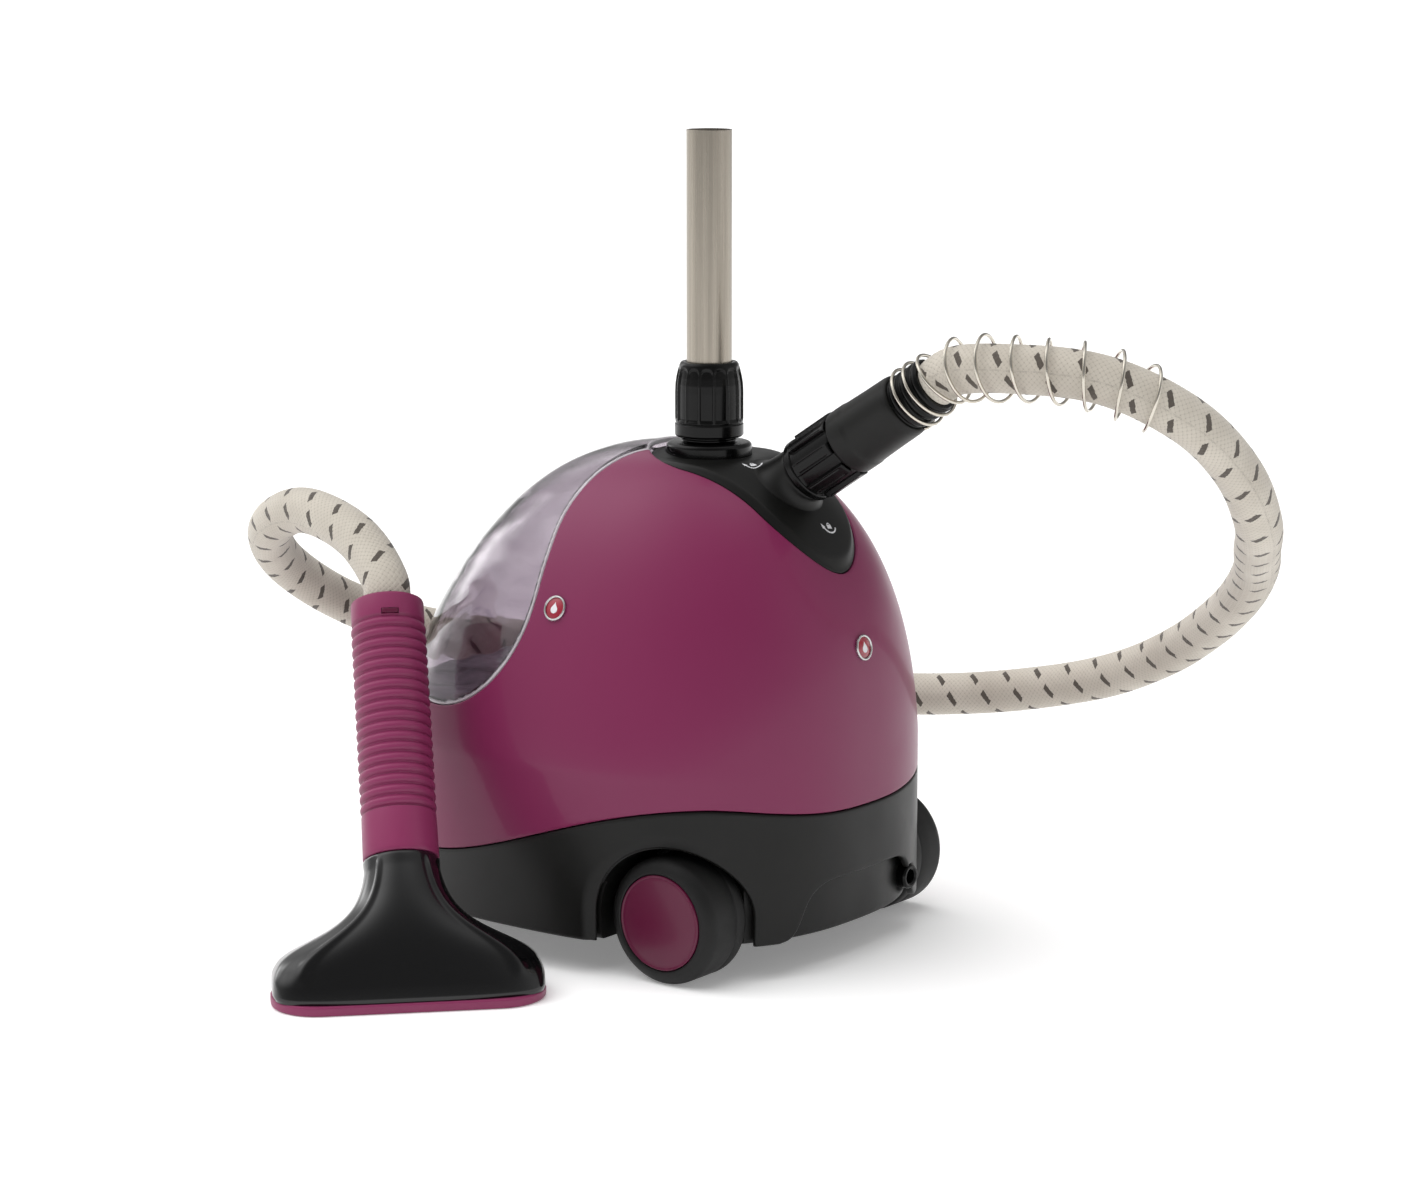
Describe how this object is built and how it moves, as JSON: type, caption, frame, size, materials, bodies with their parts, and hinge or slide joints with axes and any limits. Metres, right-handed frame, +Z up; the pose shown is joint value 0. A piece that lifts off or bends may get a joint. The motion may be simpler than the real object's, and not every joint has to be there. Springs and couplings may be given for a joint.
{
  "type": "garment steamer",
  "caption": "Domed garment steamer on wheels with a lift-off water tank, clamped pole socket, insulated steam hose and a handheld steam head.",
  "frame": {"origin": "centre of the footprint of the machine and its steam head on the floor, hose left out", "axes": "+Z up, -Y to the front where the tank and foot switch are, +Y to the rear where the large wheels and hose are, +X to the side where the steam head stands"},
  "size_m": [0.5825, 0.5963, 0.454],
  "materials": {
    "body": "deep plum moulding, smooth gloss",
    "plum_trim": "darker plum, gloss",
    "handle": "satin plum grip with rounded rings",
    "base": "black, fine satin texture",
    "black_gloss": "piano black",
    "tank": "smoky translucent",
    "pole": "satin champagne silver",
    "steel": "bright",
    "spring_wire": "bright wire",
    "braid": "off-white braided sleeve with dark flecks",
    "tyre": "black, semi-matte",
    "alloy": "cast, bead blasted",
    "silicone": "cured silicone",
    "lens": "translucent red",
    "badge": "bright rim round a plum centre",
    "fuse_sleeve": "woven glass sleeve"
  },
  "bodies": {
    "machine": {"base_shell": "base", "body_shell": "body", "tank_bay": "base", "valve_seat": "base", "top_saddle": "base", "pole_socket": "base", "hose_spigot": "base", "hose_cuff": "base", "hose_sleeve": "base", "strain_spring": "spring_wire", "hose": "braid", "handle_grip": "handle", "handle_core": "black_gloss", "nozzle_shell": "black_gloss", "face_plate": "body", "steam_plate": "alloy", "nozzle_screws": "steel", "boiler": "alloy", "boiler_lid": "alloy", "boiler_gasket": "silicone", "boiler_screws": "steel", "boiler_posts": "base", "heating_element": "steel", "thermostat": "steel", "thermal_fuse": "fuse_sleeve", "steam_tube": "silicone", "feed_tube": "silicone", "axle": "steel", "axle_brackets": "base", "axle_washers": "steel", "power_bezel": "base", "indicator_lens": "lens", "cord_gland": "base", "side_badge": "badge", "rear_badge": "badge", "base_screws": "steel"},
    "wheel_right": {"wheel_right_tyre": "tyre", "wheel_right_hub": "base", "wheel_right_cap": "plum_trim"},
    "wheel_left": {"wheel_left_tyre": "tyre", "wheel_left_hub": "base", "wheel_left_cap": "plum_trim"},
    "caster_right": {"caster_right_fork": "base", "caster_right_pin": "steel"},
    "caster_right_roller": {"caster_right_wheel": "tyre"},
    "caster_left": {"caster_left_fork": "base", "caster_left_pin": "steel"},
    "caster_left_roller": {"caster_left_wheel": "tyre"},
    "water_tank": {"tank": "tank", "tank_cap": "base", "tank_valve": "silicone"},
    "power_key": {"power_button": "plum_trim"},
    "pole": {"pole_tube": "pole"},
    "pole_lock": {"pole_lock_nut": "base"},
    "hose_lock": {"hose_lock_nut": "base"},
    "hose_swivel": {"hose_end_bush": "black_gloss"},
    "latch": {"handle_latch": "plum_trim"}
  },
  "joints": [
    {"name": "wheel_right_spin", "type": "hinge", "parent": "machine", "child": "wheel_right", "pos_m": [0.0228, 0.0637, 0.035], "axis": [1, 0, 0], "continuous": true},
    {"name": "wheel_left_spin", "type": "hinge", "parent": "machine", "child": "wheel_left", "pos_m": [-0.1712, 0.0637, 0.035], "axis": [1, 0, 0], "continuous": true},
    {"name": "caster_right_swivel", "type": "hinge", "parent": "machine", "child": "caster_right", "pos_m": [-0.0122, -0.1128, 0.042], "axis": [0, 0, 1], "continuous": true},
    {"name": "caster_right_roll", "type": "hinge", "parent": "caster_right", "child": "caster_right_roller", "pos_m": [-0.0122, -0.1058, 0.011], "axis": [1, 0, 0], "continuous": true},
    {"name": "caster_left_swivel", "type": "hinge", "parent": "machine", "child": "caster_left", "pos_m": [-0.1362, -0.1128, 0.042], "axis": [0, 0, 1], "continuous": true},
    {"name": "caster_left_roll", "type": "hinge", "parent": "caster_left", "child": "caster_left_roller", "pos_m": [-0.1362, -0.1058, 0.011], "axis": [1, 0, 0], "continuous": true},
    {"name": "tank_lift", "type": "slide", "parent": "machine", "child": "water_tank", "axis": [0, 0, 1], "range_m": [0, 0.21]},
    {"name": "power_press", "type": "slide", "parent": "machine", "child": "power_key", "axis": [0, 1, 0], "range_m": [0, 0.003], "stiffness_N_per_m": 400},
    {"name": "pole_lift", "type": "slide", "parent": "machine", "child": "pole", "axis": [0, 0, 1], "range_m": [0, 0.24]},
    {"name": "pole_lock_turn", "type": "hinge", "parent": "machine", "child": "pole_lock", "pos_m": [-0.0742, 0.0122, 0.3], "axis": [0, 0, 1], "range_deg": [0, 90]},
    {"name": "hose_lock_turn", "type": "hinge", "parent": "machine", "child": "hose_lock", "pos_m": [-0.0742, 0.09306, 0.27846], "axis": [0, 0.8387, 0.5446], "range_deg": [0, 60]},
    {"name": "hose_end_swivel", "type": "hinge", "parent": "machine", "child": "hose_swivel", "pos_m": [0.06106, -0.10926, 0.18027], "axis": [-0.363, -0.3759, 0.8526], "continuous": true},
    {"name": "latch_press", "type": "slide", "parent": "machine", "child": "latch", "axis": [-0.5923, -0.6133, -0.5225], "range_m": [0, 0.0012], "stiffness_N_per_m": 500}
  ]
}
